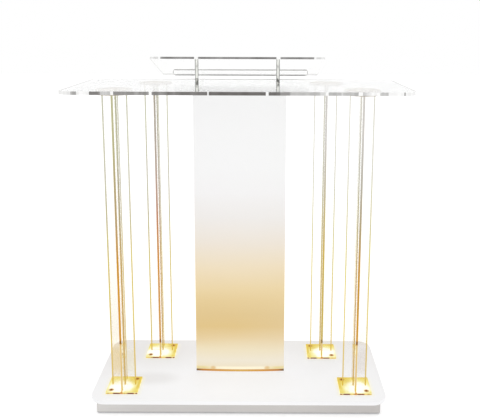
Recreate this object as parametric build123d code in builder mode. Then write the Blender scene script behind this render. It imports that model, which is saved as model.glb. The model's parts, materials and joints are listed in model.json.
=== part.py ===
from build123d import *
from math import asin, cos, degrees, hypot, radians, sin
import os

# A free-standing presentation lectern in clear acrylic with a lit white base.
# Millimetres, +Z up. The floor is z = 0. -Y faces the audience, +Y is the speaker's side,
# and the YZ plane is the plane of symmetry.

os.makedirs("parts", exist_ok=True)

# ---------------------------------------------------------------- driving dimensions
TOTAL_HEIGHT = 1110.0
SHELF_HEIGHT = 1012.0
SHELF_WIDTH = 1038.0
SHELF_DEPTH = 465.0
SHELF_THICKNESS = 10.0
SHELF_CORNER = 40.0

PAD_HEIGHT = 3.0
PAD_RADIUS = 18.0
COVER_THICKNESS = 3.0
RAIL_HEIGHT = 37.0
RAIL_THICKNESS = 15.0
PLATE_THICKNESS = 12.0
PLATE_WIDTH = 928.0
PLATE_DEPTH = 422.0
PLATE_CENTRE_Y = -22.0
PLATE_CORNER = 50.0
PLATE_EDGE_ROUND = 2.0
PLINTH_INSET = 21.0

FRONT_LEG_X = 369.0
FRONT_LEG_Y = -142.0
REAR_LEG_X = 281.5
REAR_LEG_Y = 98.0
LEG_SPAN = 76.0
LEG_THICKNESS = 6.0
FOOT_SIDE = 100.0
FOOT_THICKNESS = 6.0
FOOT_CORNER = 2.0
FOOT_SCREW_INSET = 15.0
DISC_RADIUS = 54.0
DISC_THICKNESS = 6.0

BOARD_WIDTH = 498.0
BOARD_THICKNESS = 6.0
BOARD_CORNER = 8.0
BOARD_FRONT_Y = -220.0
BOARD_REAR_Y = 56.0
BOARD_REAR_Z = 1043.0
LIP_WIDTH = 437.0
LIP_THICKNESS = 5.0
LIP_RISE = 14.0
LIP_CORNER = 8.0
BRACKET_X = 115.6
BRACKET_THICKNESS = 10.0
BRACKET_REAR_Y = -20.0

PANEL_WIDTH = 293.0
PANEL_THICKNESS = 5.0
PANEL_EDGE_FRONT_Y = -38.0
PANEL_BOW = 6.0
CLIP_X = 86.0
CLIP_WIDTH = 14.0
CLIP_LEG = 16.0
CLIP_SHEET = 2.0
CLIP_GAP = 0.2
CLIP_HOLE_INSET = 5.0

MODULE_RADIUS = 24.0
MODULE_THICKNESS = 4.0
MODULE_PLUG = (14.0, 10.0, 10.0)
LENS_RADIUS = 15.0
LENS_HEIGHT = 10.0
LENS_ROUND = 6.0
PORT_RADIUS = 17.0
SLOT_LENGTH = 240.0
SLOT_WIDTH = 9.0
CHANNEL_HEIGHT = 14.0
CHANNEL_WIDTH = 20.0
CHANNEL_WALL = 1.5
CHANNEL_Y = PANEL_EDGE_FRONT_Y - 1.0

DRIVER_SIZE = (170.0, 42.0, 20.0)
DRIVER_FLANGE = 12.0
DRIVER_TAB = 3.0
DRIVER_TAB_WIDTH = 20.0
DRIVER_CORNER = 2.0
DRIVER_Y = 66.0
TERMINAL_SIZE = (25.0, 16.0, 16.0)
TERMINAL_CORNER = 1.0
TERMINAL_X = 137.5
TERMINAL_PITCH = 8.0
WIRE_RADIUS = 1.5
WIRE_DROP = 12.0
WIRE_BEND = 9.0

# Screw sizes: head radius, head height, shank radius, shank length.
COVER_SCREW = (3.5, 1.8, 1.75, 13.0)
FOOT_SCREW = (4.5, 2.4, 2.0, 16.0)
CLIP_SCREW = (3.2, 1.8, 1.5, 8.0)
SMALL_SCREW = (3.0, 1.8, 1.5, 11.0)

SWITCH_X = -130.0
INLET_X = -70.0
POWER_PLATE_THICKNESS = 3.0
POWER_GAP = 104.0
POWER_REBATE = 8.0
ROCKER_TILT = 8.0
PIN_CLEARANCE = 0.05
ROCKER_CLEARANCE = 0.3

# ---------------------------------------------------------------- levels and lines
COVER_Z = PAD_HEIGHT
RAIL_Z = COVER_Z + COVER_THICKNESS
PLATE_Z = RAIL_Z + RAIL_HEIGHT
PLATE_TOP = PLATE_Z + PLATE_THICKNESS
WIRE_Z = PLATE_Z - WIRE_DROP
LEG_Z = PLATE_TOP + FOOT_THICKNESS
SHELF_Z = SHELF_HEIGHT - SHELF_THICKNESS
DISC_Z = SHELF_Z - DISC_THICKNESS
LEG_LENGTH = DISC_Z - LEG_Z

PLINTH_WIDTH = PLATE_WIDTH - 2 * PLINTH_INSET
PLINTH_DEPTH = PLATE_DEPTH - 2 * PLINTH_INSET
PLINTH_REAR_Y = PLATE_CENTRE_Y + PLINTH_DEPTH / 2
RAIL_OFFSET_Y = (PLINTH_DEPTH - RAIL_THICKNESS) / 2
RAIL_OFFSET_X = (PLINTH_WIDTH - RAIL_THICKNESS) / 2

panel_rear_y = PANEL_EDGE_FRONT_Y + PANEL_THICKNESS + CLIP_GAP
clip_screw_y = panel_rear_y + CLIP_LEG - CLIP_HOLE_INSET
clip_screw_places = [(-CLIP_X, clip_screw_y), (CLIP_X, clip_screw_y)]
driver_hole_x = (DRIVER_SIZE[0] - DRIVER_FLANGE) / 2
driver_screw_places = [(-driver_hole_x, DRIVER_Y), (driver_hole_x, DRIVER_Y)]
cover_screw_xs = [share * PLINTH_WIDTH for share in (-0.46, -0.2, 0.2, 0.46)]
front_rail_screws = [(x, PLATE_CENTRE_Y - RAIL_OFFSET_Y) for x in cover_screw_xs]
rear_rail_screws = [(x, PLATE_CENTRE_Y + RAIL_OFFSET_Y) for x in cover_screw_xs]
cover_screw_places = front_rail_screws + rear_rail_screws

LEG_PLACES = {
    "front_left": (-FRONT_LEG_X, FRONT_LEG_Y),
    "front_right": (FRONT_LEG_X, FRONT_LEG_Y),
    "rear_left": (-REAR_LEG_X, REAR_LEG_Y),
    "rear_right": (REAR_LEG_X, REAR_LEG_Y),
}


def save(piece, name):
    """Names a finished piece and writes it to its own file."""
    piece.part.label = name
    export_step(piece.part, f"parts/{name}.step")


def side_of(x):
    """-1 on the left of the plane of symmetry and 1 on the right."""
    return -1 if x < 0 else 1


def foot_screw_places(x, y):
    """The two screws of a foot stand on the diagonal whose front end is the outer one."""
    reach = FOOT_SIDE / 2 - FOOT_SCREW_INSET
    outer = side_of(x)
    return [(x + outer * reach, y - reach), (x - outer * reach, y + reach)]


def slab(width, depth, height, x, y, z, corner=0.0):
    """A plate or block on a horizontal plane, centred on (x, y), with its underside at z."""
    with BuildPart() as block:
        with BuildSketch(Plane.XY.offset(z)):
            with Locations((x, y)):
                if corner:
                    RectangleRounded(width, depth, corner)
                else:
                    Rectangle(width, depth)
        extrude(amount=height)
    return block


def round_slab(radius, height, places, z):
    """Equal discs at several places, with their undersides at z."""
    with BuildPart() as discs:
        with BuildSketch(Plane.XY.offset(z)):
            with Locations(*places):
                Circle(radius)
        extrude(amount=height)
    return discs


def screw(x, y, z, head_radius, head_height, shank_radius, shank_length, upward=False):
    """A pan-head screw whose head seats at z, with the shank going down, or up from below."""
    way = 1 if upward else -1
    crown = head_radius * 0.35
    rim = head_height * 0.4
    with BuildPart() as fixing:
        with BuildSketch(Plane.XZ.offset(-y)):
            with BuildLine():
                Polyline(
                    (x, z - way * head_height),
                    (x, z + way * shank_length),
                    (x + shank_radius, z + way * (shank_length - shank_radius)),
                    (x + shank_radius, z),
                    (x + head_radius, z),
                    (x + head_radius, z - way * rim),
                    (x + crown, z - way * head_height),
                    (x, z - way * head_height),
                )
            make_face()
        revolve(axis=Axis((x, y, 0), (0, 0, 1)))
    return fixing


def save_group(pieces, name):
    """Several identical pieces in one node, as separate solids."""
    group = Compound(children=[piece.part if hasattr(piece, "part") else piece for piece in pieces])
    group.label = name
    export_step(group, f"parts/{name}.step")


# ---------------------------------------------------------------- base
SCREW_HOLE_RADIUS = 2.1
CLIP_HOLE_RADIUS = 1.6
DRIVER_HOLE_RADIUS = 1.6
DRIVER_HOLE_DEPTH = 9.0
with BuildPart() as base_plate:
    with BuildSketch(Plane.XY.offset(PLATE_Z)):
        with Locations((0, PLATE_CENTRE_Y)):
            RectangleRounded(PLATE_WIDTH, PLATE_DEPTH, PLATE_CORNER)
    extrude(amount=PLATE_THICKNESS)
    fillet(base_plate.faces().sort_by(Axis.Z)[-1].edges(), PLATE_EDGE_ROUND)
    # light ports under the feet, the light slot under the panel and the screw holes
    with BuildSketch(Plane.XY.offset(PLATE_Z)):
        with Locations(*LEG_PLACES.values()):
            Circle(PORT_RADIUS)
        with Locations((0, CHANNEL_Y)):
            SlotOverall(SLOT_LENGTH, SLOT_WIDTH)
        for leg_x, leg_y in LEG_PLACES.values():
            with Locations(*foot_screw_places(leg_x, leg_y)):
                Circle(SCREW_HOLE_RADIUS)
        with Locations(*clip_screw_places):
            Circle(CLIP_HOLE_RADIUS)
    extrude(amount=PLATE_THICKNESS, mode=Mode.SUBTRACT)
    with BuildSketch(Plane.XY.offset(PLATE_Z)):
        with Locations(*driver_screw_places):
            Circle(DRIVER_HOLE_RADIUS)
    extrude(amount=DRIVER_HOLE_DEPTH, mode=Mode.SUBTRACT)
save(base_plate, "base_plate")

SIDE_RAIL_LENGTH = PLINTH_DEPTH - 2 * RAIL_THICKNESS
for side, name in ((-1, "plinth_left_rail"), (1, "plinth_right_rail")):
    rail_x = side * RAIL_OFFSET_X
    side_rail = slab(RAIL_THICKNESS, SIDE_RAIL_LENGTH, RAIL_HEIGHT, rail_x, PLATE_CENTRE_Y, RAIL_Z)
    save(side_rail, name)

# The long rails are drilled from below for the screws of the cover.
PILOT_RADIUS = 1.9
PILOT_DEPTH = 12.0
with BuildPart() as front_rail:
    with BuildSketch(Plane.XY.offset(RAIL_Z)):
        with Locations((0, PLATE_CENTRE_Y - RAIL_OFFSET_Y)):
            Rectangle(PLINTH_WIDTH, RAIL_THICKNESS)
    extrude(amount=RAIL_HEIGHT)
    with BuildSketch(Plane.XY.offset(RAIL_Z)):
        with Locations(*front_rail_screws):
            Circle(PILOT_RADIUS)
    extrude(amount=PILOT_DEPTH, mode=Mode.SUBTRACT)
save(front_rail, "plinth_front_rail")

# The rear rail is in two lengths. The power plate closes the gap between them, and sits
# in a rebate at each end of it.
POWER_PLATE_X = (SWITCH_X + INLET_X) / 2
gap_left = POWER_PLATE_X - POWER_GAP / 2
gap_right = POWER_PLATE_X + POWER_GAP / 2
plate_screw_xs = (gap_left - POWER_REBATE / 2, gap_right + POWER_REBATE / 2)
SMALL_HOLE_RADIUS = 1.6
SMALL_HOLE_DEPTH = 9.0
rebate_y = PLINTH_REAR_Y - POWER_PLATE_THICKNESS
for start, end, name in (
    (-PLINTH_WIDTH / 2, gap_left, "plinth_rear_rail_left"),
    (gap_right, PLINTH_WIDTH / 2, "plinth_rear_rail_right"),
):
    gap_side = -1 if end == gap_left else 1
    gap_end = gap_left if end == gap_left else gap_right
    with BuildPart() as rear_rail:
        with BuildSketch(Plane.XY.offset(RAIL_Z)):
            with Locations(((start + end) / 2, PLATE_CENTRE_Y + RAIL_OFFSET_Y)):
                Rectangle(end - start, RAIL_THICKNESS)
            with Locations((gap_end + gap_side * POWER_REBATE / 2, PLINTH_REAR_Y)):
                Rectangle(POWER_REBATE, 2 * POWER_PLATE_THICKNESS, mode=Mode.SUBTRACT)
        extrude(amount=RAIL_HEIGHT)
        with BuildSketch(Plane.XY.offset(RAIL_Z)):
            with Locations(*[place for place in rear_rail_screws if start < place[0] < end]):
                Circle(PILOT_RADIUS)
        extrude(amount=PILOT_DEPTH, mode=Mode.SUBTRACT)
        with BuildSketch(Plane.XZ.offset(-rebate_y)):
            with Locations((gap_end + gap_side * POWER_REBATE / 2, WIRE_Z)):
                Circle(SMALL_HOLE_RADIUS)
        extrude(amount=SMALL_HOLE_DEPTH, mode=Mode.SUBTRACT)
    save(rear_rail, name)

SWITCH_TUB = (19.0, 13.0, 12.0)
SWITCH_BEZEL = (21.0, 15.0, 2.0)
INLET_RADIUS = 5.5
FIT_GAP = 0.2
with BuildPart() as power_plate:
    with BuildSketch(Plane.XZ.offset(-PLINTH_REAR_Y)):
        with Locations((POWER_PLATE_X, RAIL_Z + RAIL_HEIGHT / 2)):
            Rectangle(POWER_GAP + 2 * POWER_REBATE, RAIL_HEIGHT)
        with Locations((SWITCH_X, WIRE_Z)):
            Rectangle(SWITCH_TUB[0] + 2 * FIT_GAP, SWITCH_TUB[1] + 2 * FIT_GAP, mode=Mode.SUBTRACT)
        with Locations((INLET_X, WIRE_Z)):
            Circle(INLET_RADIUS + FIT_GAP, mode=Mode.SUBTRACT)
        with Locations(*[(x, WIRE_Z) for x in plate_screw_xs]):
            Circle(SMALL_HOLE_RADIUS, mode=Mode.SUBTRACT)
    extrude(amount=POWER_PLATE_THICKNESS)
save(power_plate, "power_plate")

BLOCK_SIDE = 30.0
with BuildPart() as corner_blocks:
    with BuildSketch(Plane.XY.offset(RAIL_Z)):
        for corner_x in (-1, 1):
            for corner_y in (-1, 1):
                inner_x = corner_x * (PLINTH_WIDTH / 2 - RAIL_THICKNESS)
                inner_y = PLATE_CENTRE_Y + corner_y * SIDE_RAIL_LENGTH / 2
                with BuildLine():
                    Polyline(
                        (inner_x, inner_y),
                        (inner_x - corner_x * BLOCK_SIDE, inner_y),
                        (inner_x, inner_y - corner_y * BLOCK_SIDE),
                        close=True,
                    )
                make_face()
    extrude(amount=RAIL_HEIGHT)
save(corner_blocks, "plinth_corner_blocks")

COVER_INSET = 1.0
COVER_HOLE_RADIUS = 2.0
with BuildPart() as bottom_cover:
    with BuildSketch(Plane.XY.offset(COVER_Z)):
        with Locations((0, PLATE_CENTRE_Y)):
            Rectangle(PLINTH_WIDTH - 2 * COVER_INSET, PLINTH_DEPTH - 2 * COVER_INSET)
        with Locations(*cover_screw_places):
            Circle(COVER_HOLE_RADIUS, mode=Mode.SUBTRACT)
    extrude(amount=COVER_THICKNESS)
save(bottom_cover, "bottom_cover")

cover_screws = [screw(x, y, COVER_Z, *COVER_SCREW, upward=True) for x, y in cover_screw_places]
save_group(cover_screws, "bottom_cover_screws")

pad_places = []
for pad_x in (-0.44, 0, 0.44):
    for pad_y in (-0.38, 0.38):
        pad_places.append((pad_x * PLINTH_WIDTH, PLATE_CENTRE_Y + pad_y * PLINTH_DEPTH))
save(round_slab(PAD_RADIUS, PAD_HEIGHT, pad_places, 0), "base_pads")

# ---------------------------------------------------------------- feet and legs
foot_screws = []
FOOT_HOLE_RADIUS = 2.25
FIN_WIDTH = (LEG_SPAN - LEG_THICKNESS) / 2
for place, (leg_x, leg_y) in LEG_PLACES.items():
    screw_places = foot_screw_places(leg_x, leg_y)
    with BuildPart() as foot:
        with BuildSketch(Plane.XY.offset(PLATE_TOP)):
            with Locations((leg_x, leg_y)):
                RectangleRounded(FOOT_SIDE, FOOT_SIDE, FOOT_CORNER)
            with Locations(*screw_places):
                Circle(FOOT_HOLE_RADIUS, mode=Mode.SUBTRACT)
        extrude(amount=FOOT_THICKNESS)
    save(foot, f"leg_{place}_foot")
    for screw_x, screw_y in screw_places:
        foot_screws.append(screw(screw_x, screw_y, LEG_Z, *FOOT_SCREW))

    # One web as wide as the leg runs front to back, with a fin bonded to each of its faces.
    web = slab(LEG_THICKNESS, LEG_SPAN, LEG_LENGTH, leg_x, leg_y, LEG_Z)
    save(web, f"leg_{place}_web")
    for side, fin_name in ((-1, "fin_left"), (1, "fin_right")):
        fin_x = leg_x + side * (LEG_THICKNESS + FIN_WIDTH) / 2
        fin = slab(FIN_WIDTH, LEG_THICKNESS, LEG_LENGTH, fin_x, leg_y, LEG_Z)
        save(fin, f"leg_{place}_{fin_name}")
    save(round_slab(DISC_RADIUS, DISC_THICKNESS, [(leg_x, leg_y)], DISC_Z), f"leg_{place}_top_disc")
save_group(foot_screws, "foot_screws")

# ---------------------------------------------------------------- shelf
save(slab(SHELF_WIDTH, SHELF_DEPTH, SHELF_THICKNESS, 0, 0, SHELF_Z, SHELF_CORNER), "shelf")

# ---------------------------------------------------------------- reading board
# The board's own plane: origin at the middle of its top face's front (high) edge,
# x across the board, y down the slope towards the speaker, z out of the reading face.
board_drop = TOTAL_HEIGHT - BOARD_REAR_Z
board_run = BOARD_REAR_Y - BOARD_FRONT_Y
board_length = hypot(board_run, board_drop)
board_slope = degrees(asin(board_drop / board_length))
slope_sin = sin(radians(board_slope))
slope_cos = cos(radians(board_slope))
board_plane = Plane(
    origin=(0, BOARD_FRONT_Y, TOTAL_HEIGHT),
    x_dir=(1, 0, 0),
    z_dir=(0, slope_sin, slope_cos),
)
with BuildPart() as reading_board:
    with BuildSketch(board_plane):
        with Locations((0, board_length / 2)):
            RectangleRounded(BOARD_WIDTH, board_length, BOARD_CORNER)
    extrude(amount=-BOARD_THICKNESS)
save(reading_board, "reading_board")

# The lip stands square to the board against its low edge, and keeps papers from sliding off.
lip_plane = Plane(
    origin=board_plane.from_local_coords((0, board_length, 0)),
    x_dir=(1, 0, 0),
    z_dir=(0, -slope_cos, slope_sin),
)
with BuildPart() as board_lip:
    with BuildSketch(lip_plane) as lip_outline:
        with Locations((0, (LIP_RISE - BOARD_THICKNESS) / 2)):
            Rectangle(LIP_WIDTH, LIP_RISE + BOARD_THICKNESS)
        fillet(lip_outline.vertices().group_by(Axis.Z)[-1], LIP_CORNER)
    extrude(amount=-LIP_THICKNESS)
save(board_lip, "board_lip")


def board_underside(y):
    """Height of the board's lower face above the point y."""
    return TOTAL_HEIGHT - BOARD_THICKNESS / slope_cos - (y - BOARD_FRONT_Y) * slope_sin / slope_cos


# Each bracket is a flat sheet on edge: straight in front, the board's slope on top,
# a rounded nose behind and a long hollow curve that runs out along the shelf.
NOSE_TIP = (-10.0, SHELF_HEIGHT + 28.0)
NOSE_FOOT = (-34.0, SHELF_HEIGHT + 14.0)
TOE_MIDDLE = (-86.0, SHELF_HEIGHT + 5.2)
TOE_END = (-150.0, SHELF_HEIGHT)
bracket_front_y = BOARD_FRONT_Y + BOARD_THICKNESS * slope_sin
for side, name in ((-1, "board_bracket_left"), (1, "board_bracket_right")):
    inner_x = side * BRACKET_X - BRACKET_THICKNESS / 2
    with BuildPart() as bracket:
        with BuildSketch(Plane.YZ.offset(inner_x)):
            with BuildLine():
                Polyline(
                    TOE_END,
                    (bracket_front_y, SHELF_HEIGHT),
                    (bracket_front_y, board_underside(bracket_front_y)),
                    (BRACKET_REAR_Y, board_underside(BRACKET_REAR_Y)),
                )
                ThreePointArc((BRACKET_REAR_Y, board_underside(BRACKET_REAR_Y)), NOSE_TIP, NOSE_FOOT)
                ThreePointArc(NOSE_FOOT, TOE_MIDDLE, TOE_END)
            make_face()
        extrude(amount=BRACKET_THICKNESS)
    save(bracket, name)

# ---------------------------------------------------------------- centre panel
# A sheet bowed a little towards the audience, bonded under the shelf.
panel_half = PANEL_WIDTH / 2
edge_rear_y = PANEL_EDGE_FRONT_Y + PANEL_THICKNESS
bow_front_y = PANEL_EDGE_FRONT_Y - PANEL_BOW
with BuildPart() as centre_panel:
    with BuildSketch(Plane.XY.offset(PLATE_TOP)):
        with BuildLine():
            ThreePointArc(
                (-panel_half, PANEL_EDGE_FRONT_Y),
                (0, bow_front_y),
                (panel_half, PANEL_EDGE_FRONT_Y),
            )
            Line((panel_half, PANEL_EDGE_FRONT_Y), (panel_half, edge_rear_y))
            ThreePointArc(
                (panel_half, edge_rear_y),
                (0, bow_front_y + PANEL_THICKNESS),
                (-panel_half, edge_rear_y),
            )
            Line((-panel_half, edge_rear_y), (-panel_half, PANEL_EDGE_FRONT_Y))
        make_face()
    extrude(amount=SHELF_Z - PLATE_TOP)
save(centre_panel, "centre_panel")

# Two small angle clips behind the panel's foot, each held to the base by one screw.
with BuildPart() as panel_clips:
    for clip_x, clip_y in clip_screw_places:
        with BuildSketch(Plane.YZ.offset(clip_x - CLIP_WIDTH / 2)):
            with BuildLine():
                Polyline(
                    (panel_rear_y, PLATE_TOP),
                    (panel_rear_y, PLATE_TOP + CLIP_LEG),
                    (panel_rear_y + CLIP_SHEET, PLATE_TOP + CLIP_LEG),
                    (panel_rear_y + CLIP_SHEET, PLATE_TOP + CLIP_SHEET),
                    (panel_rear_y + CLIP_LEG, PLATE_TOP + CLIP_SHEET),
                    (panel_rear_y + CLIP_LEG, PLATE_TOP),
                    close=True,
                )
            make_face()
        extrude(amount=CLIP_WIDTH)
    with BuildSketch(Plane.XY.offset(PLATE_TOP)):
        with Locations(*clip_screw_places):
            Circle(CLIP_HOLE_RADIUS)
    extrude(amount=CLIP_SHEET, mode=Mode.SUBTRACT)
save(panel_clips, "panel_clips")
clip_screws = [screw(x, y, PLATE_TOP + CLIP_SHEET, *CLIP_SCREW) for x, y in clip_screw_places]
save_group(clip_screws, "panel_clip_screws")

# ---------------------------------------------------------------- lighting
# A spot module hangs under each light port: a round heat spreader with a plug block below.
for place, (leg_x, leg_y) in LEG_PLACES.items():
    with BuildPart() as module:
        with BuildSketch(Plane.XY.offset(PLATE_Z - MODULE_THICKNESS)):
            with Locations((leg_x, leg_y)):
                Circle(MODULE_RADIUS)
        extrude(amount=MODULE_THICKNESS)
        with BuildSketch(Plane.XY.offset(PLATE_Z - MODULE_THICKNESS)):
            with Locations((leg_x, leg_y)):
                Rectangle(MODULE_PLUG[0], MODULE_PLUG[1])
        extrude(amount=-MODULE_PLUG[2])
    save(module, f"led_module_{place}")
    with BuildPart() as lens:
        with BuildSketch(Plane.XY.offset(PLATE_Z)):
            with Locations((leg_x, leg_y)):
                Circle(LENS_RADIUS)
        extrude(amount=LENS_HEIGHT)
        fillet(lens.edges().group_by(Axis.Z)[-1], LENS_ROUND)
    save(lens, f"led_lens_{place}")

channel_z = PLATE_Z - CHANNEL_HEIGHT
with BuildPart() as led_channel:
    with BuildSketch(Plane.YZ.offset(-SLOT_LENGTH / 2)):
        with Locations((CHANNEL_Y, channel_z + CHANNEL_HEIGHT / 2)):
            Rectangle(CHANNEL_WIDTH, CHANNEL_HEIGHT)
        with Locations((CHANNEL_Y, channel_z + (CHANNEL_HEIGHT + CHANNEL_WALL) / 2)):
            Rectangle(
                CHANNEL_WIDTH - 2 * CHANNEL_WALL,
                CHANNEL_HEIGHT - CHANNEL_WALL,
                mode=Mode.SUBTRACT,
            )
    extrude(amount=SLOT_LENGTH)
save(led_channel, "led_channel")

STRIP_WIDTH = 10.0
STRIP_THICKNESS = 1.2
strip = slab(
    SLOT_LENGTH, STRIP_WIDTH, STRIP_THICKNESS, 0, CHANNEL_Y, channel_z + CHANNEL_WALL
)
save(strip, "led_strip")

DIFFUSER_THICKNESS = 2.0
diffuser = slab(
    SLOT_LENGTH,
    CHANNEL_WIDTH - 2 * CHANNEL_WALL,
    DIFFUSER_THICKNESS,
    0,
    CHANNEL_Y,
    PLATE_Z - DIFFUSER_THICKNESS,
)
save(diffuser, "led_diffuser")

# ---------------------------------------------------------------- power
driver_z = PLATE_Z - DRIVER_SIZE[2]
with BuildPart() as led_driver:
    with BuildSketch(Plane.XY.offset(driver_z)):
        with Locations((0, DRIVER_Y)):
            RectangleRounded(DRIVER_SIZE[0] - 2 * DRIVER_FLANGE, DRIVER_SIZE[1], DRIVER_CORNER)
    extrude(amount=DRIVER_SIZE[2])
    with BuildSketch(Plane.XY.offset(PLATE_Z - DRIVER_TAB)):
        with Locations((0, DRIVER_Y)):
            Rectangle(DRIVER_SIZE[0], DRIVER_TAB_WIDTH)
        with Locations(*driver_screw_places):
            Circle(DRIVER_HOLE_RADIUS, mode=Mode.SUBTRACT)
    extrude(amount=DRIVER_TAB)
save(led_driver, "led_driver")

# One size of small screw holds the driver, from below, and the power plate, from behind.
tab_z = PLATE_Z - DRIVER_TAB
case_screws = [screw(x, y, tab_z, *SMALL_SCREW, upward=True) for x, y in driver_screw_places]
for screw_x in plate_screw_xs:
    plate_screw = screw(0, 0, 0, *SMALL_SCREW)
    laid = Pos(screw_x, PLINTH_REAR_Y, WIRE_Z) * Rot(-90, 0, 0) * plate_screw.part
    case_screws.append(laid)
save_group(case_screws, "case_screws")

terminal_z = PLATE_Z - TERMINAL_SIZE[2]
terminal_block = slab(*TERMINAL_SIZE, TERMINAL_X, DRIVER_Y, terminal_z, TERMINAL_CORNER)
save(terminal_block, "terminal_block")

# Barrel inlet: flange outside, threaded body through the power plate, nut behind it.
INLET_FLANGE_RADIUS = 7.0
INLET_FLANGE = 1.5
INLET_BODY = 14.0
INLET_BORE_RADIUS = 3.2
INLET_BORE_DEPTH = 9.5
INLET_PIN_RADIUS = 1.05
with BuildPart() as power_inlet:
    with BuildSketch(Plane.XZ.offset(-PLINTH_REAR_Y)):
        with Locations((INLET_X, WIRE_Z)):
            Circle(INLET_FLANGE_RADIUS)
    extrude(amount=-INLET_FLANGE)
    with BuildSketch(Plane.XZ.offset(-PLINTH_REAR_Y)):
        with Locations((INLET_X, WIRE_Z)):
            Circle(INLET_RADIUS)
    extrude(amount=INLET_BODY)
    with BuildSketch(Plane.XZ.offset(-PLINTH_REAR_Y - INLET_FLANGE)):
        with Locations((INLET_X, WIRE_Z)):
            Circle(INLET_BORE_RADIUS)
            Circle(INLET_PIN_RADIUS, mode=Mode.SUBTRACT)
    extrude(amount=INLET_BORE_DEPTH, mode=Mode.SUBTRACT)
save(power_inlet, "power_inlet")

NUT_THICKNESS = 2.5
NUT_RADIUS = 7.5
NUT_CLEARANCE = 0.1
with BuildPart() as inlet_nut:
    with BuildSketch(Plane.XZ.offset(POWER_PLATE_THICKNESS - PLINTH_REAR_Y)):
        with Locations((INLET_X, WIRE_Z)):
            RegularPolygon(NUT_RADIUS, 6)
            Circle(INLET_RADIUS + NUT_CLEARANCE, mode=Mode.SUBTRACT)
    extrude(amount=NUT_THICKNESS)
save(inlet_nut, "power_inlet_nut")

# Rocker switch: a square tub with a bezel, and a rocker on two stub pins.
CAVITY = (17.6, 10.6, 8.0)
PIN_RADIUS = 1.0
PIN_LENGTH = 11.8
PIN_END_GAP = 0.1
BEZEL_CORNER = 1.0
PIVOT_DEPTH = 1.0
pivot_y = PLINTH_REAR_Y - PIVOT_DEPTH
with BuildPart() as switch_housing:
    with BuildSketch(Plane.XZ.offset(-PLINTH_REAR_Y)):
        with Locations((SWITCH_X, WIRE_Z)):
            RectangleRounded(SWITCH_BEZEL[0], SWITCH_BEZEL[1], BEZEL_CORNER)
    extrude(amount=-SWITCH_BEZEL[2])
    with BuildSketch(Plane.XZ.offset(-PLINTH_REAR_Y)):
        with Locations((SWITCH_X, WIRE_Z)):
            Rectangle(SWITCH_TUB[0], SWITCH_TUB[1])
    extrude(amount=SWITCH_TUB[2])
    with BuildSketch(Plane.XZ.offset(-PLINTH_REAR_Y - SWITCH_BEZEL[2])):
        with Locations((SWITCH_X, WIRE_Z)):
            Rectangle(CAVITY[0], CAVITY[1])
    extrude(amount=CAVITY[2] + SWITCH_BEZEL[2], mode=Mode.SUBTRACT)
    with BuildSketch(Plane.XY.offset(WIRE_Z - PIN_LENGTH / 2 - PIN_END_GAP)):
        with Locations((SWITCH_X, pivot_y)):
            Circle(PIN_RADIUS + PIN_CLEARANCE)
    extrude(amount=PIN_LENGTH + 2 * PIN_END_GAP, mode=Mode.SUBTRACT)
save(switch_housing, "switch_housing")

# The rocker stands tilted to its on side. Its outline turns about the pin's axis.
ROCKER_LENGTH = 16.4
ROCKER_HEIGHT = CAVITY[1] - 2 * ROCKER_CLEARANCE
ROCKER_OUTLINE = [
    (-ROCKER_LENGTH / 2, 0.6),
    (-ROCKER_LENGTH / 2, 5.6),
    (0, 4.0),
    (ROCKER_LENGTH / 2, 5.6),
    (ROCKER_LENGTH / 2, 0.6),
    (3.0, -3.2),
    (-3.0, -3.2),
]
tilt_cos = cos(radians(ROCKER_TILT))
tilt_sin = sin(radians(ROCKER_TILT))
turned = [
    (SWITCH_X + x * tilt_cos - y * tilt_sin, pivot_y + x * tilt_sin + y * tilt_cos)
    for x, y in ROCKER_OUTLINE
]
with BuildPart() as rocker:
    with BuildSketch(Plane.XY.offset(WIRE_Z - ROCKER_HEIGHT / 2)):
        with BuildLine():
            Polyline(*turned, close=True)
        make_face()
    extrude(amount=ROCKER_HEIGHT)
    with BuildSketch(Plane.XY.offset(WIRE_Z - PIN_LENGTH / 2)):
        with Locations((SWITCH_X, pivot_y)):
            Circle(PIN_RADIUS)
    extrude(amount=PIN_LENGTH)
save(rocker, "switch_rocker")


# ---------------------------------------------------------------- wiring inside the plinth
def wire(points):
    """One insulated wire at mid height of the plinth, straight runs joined by arcs."""
    route = [(x, y, WIRE_Z) for x, y in points]
    with BuildPart() as lead:
        with BuildLine() as path:
            if len(route) > 2:
                FilletPolyline(*route, radius=WIRE_BEND)
            else:
                Line(*route)
        with BuildSketch(Plane(origin=path.line @ 0, z_dir=path.line % 0)):
            Circle(WIRE_RADIUS)
        sweep()
    return lead


inlet_end_y = PLINTH_REAR_Y - INLET_BODY
inlet_turn_y = inlet_end_y - 24.0
switch_end_y = PLINTH_REAR_Y - SWITCH_TUB[2]
switch_left_x = SWITCH_X - 5.0
switch_right_x = SWITCH_X + 5.0
driver_end_x = DRIVER_SIZE[0] / 2 - DRIVER_FLANGE
terminal_left = TERMINAL_X - TERMINAL_SIZE[0] / 2
terminal_right = TERMINAL_X + TERMINAL_SIZE[0] / 2
terminal_front = DRIVER_Y - TERMINAL_SIZE[1] / 2
output_front_y = DRIVER_Y - 5.0
output_rear_y = DRIVER_Y + 5.0
plug_half = MODULE_PLUG[0] / 2

power_wires = [
    wire(
        [
            (INLET_X, inlet_end_y),
            (INLET_X, inlet_turn_y),
            (switch_right_x, inlet_turn_y),
            (switch_right_x, switch_end_y),
        ]
    ),
    wire([(switch_left_x, switch_end_y), (switch_left_x, DRIVER_Y), (-driver_end_x, DRIVER_Y)]),
    wire([(driver_end_x, DRIVER_Y), (terminal_left, DRIVER_Y)]),
]
save_group(power_wires, "power_wires")

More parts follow.
